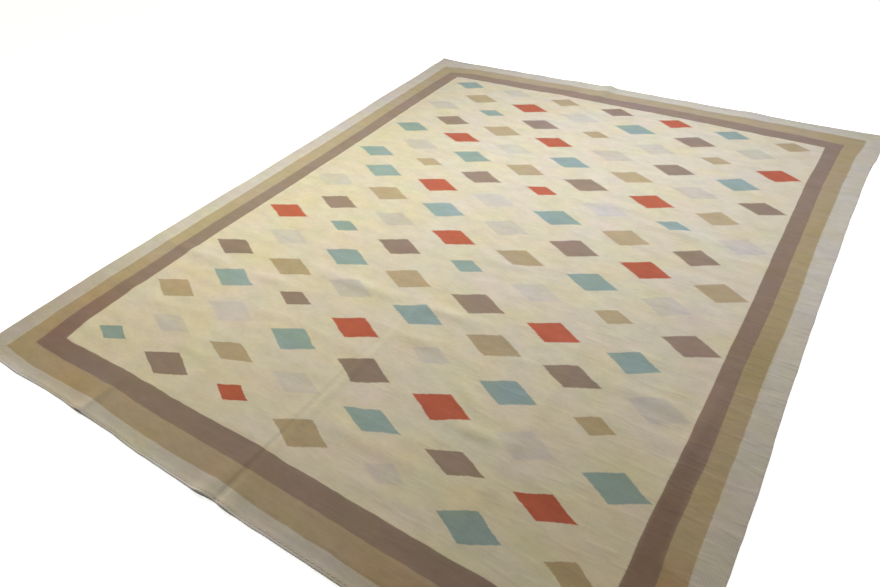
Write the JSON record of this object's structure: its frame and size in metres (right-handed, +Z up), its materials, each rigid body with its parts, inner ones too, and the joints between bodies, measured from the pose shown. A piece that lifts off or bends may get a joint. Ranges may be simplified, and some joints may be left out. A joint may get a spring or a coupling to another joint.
{
  "type": "kilim rug",
  "caption": "Flat-woven wool kilim rug laid flat, with hemmed short ends, three plain border bands and offset rows of small lozenges.",
  "frame": {"origin": "middle of the rug's outline, on the floor that it lies on", "axes": "+X across the rug along its wefts, +Y along its length along its warps, +Z up out of its face"},
  "size_m": [2.481, 3.06, 0.014],
  "materials": {
    "kilim_wool": "flat-woven wool, matt, cream field with muted lozenges and brown, olive and grey border bands"
  },
  "bodies": {
    "root": {"kilim_rug": "kilim_wool"}
  },
  "joints": []
}
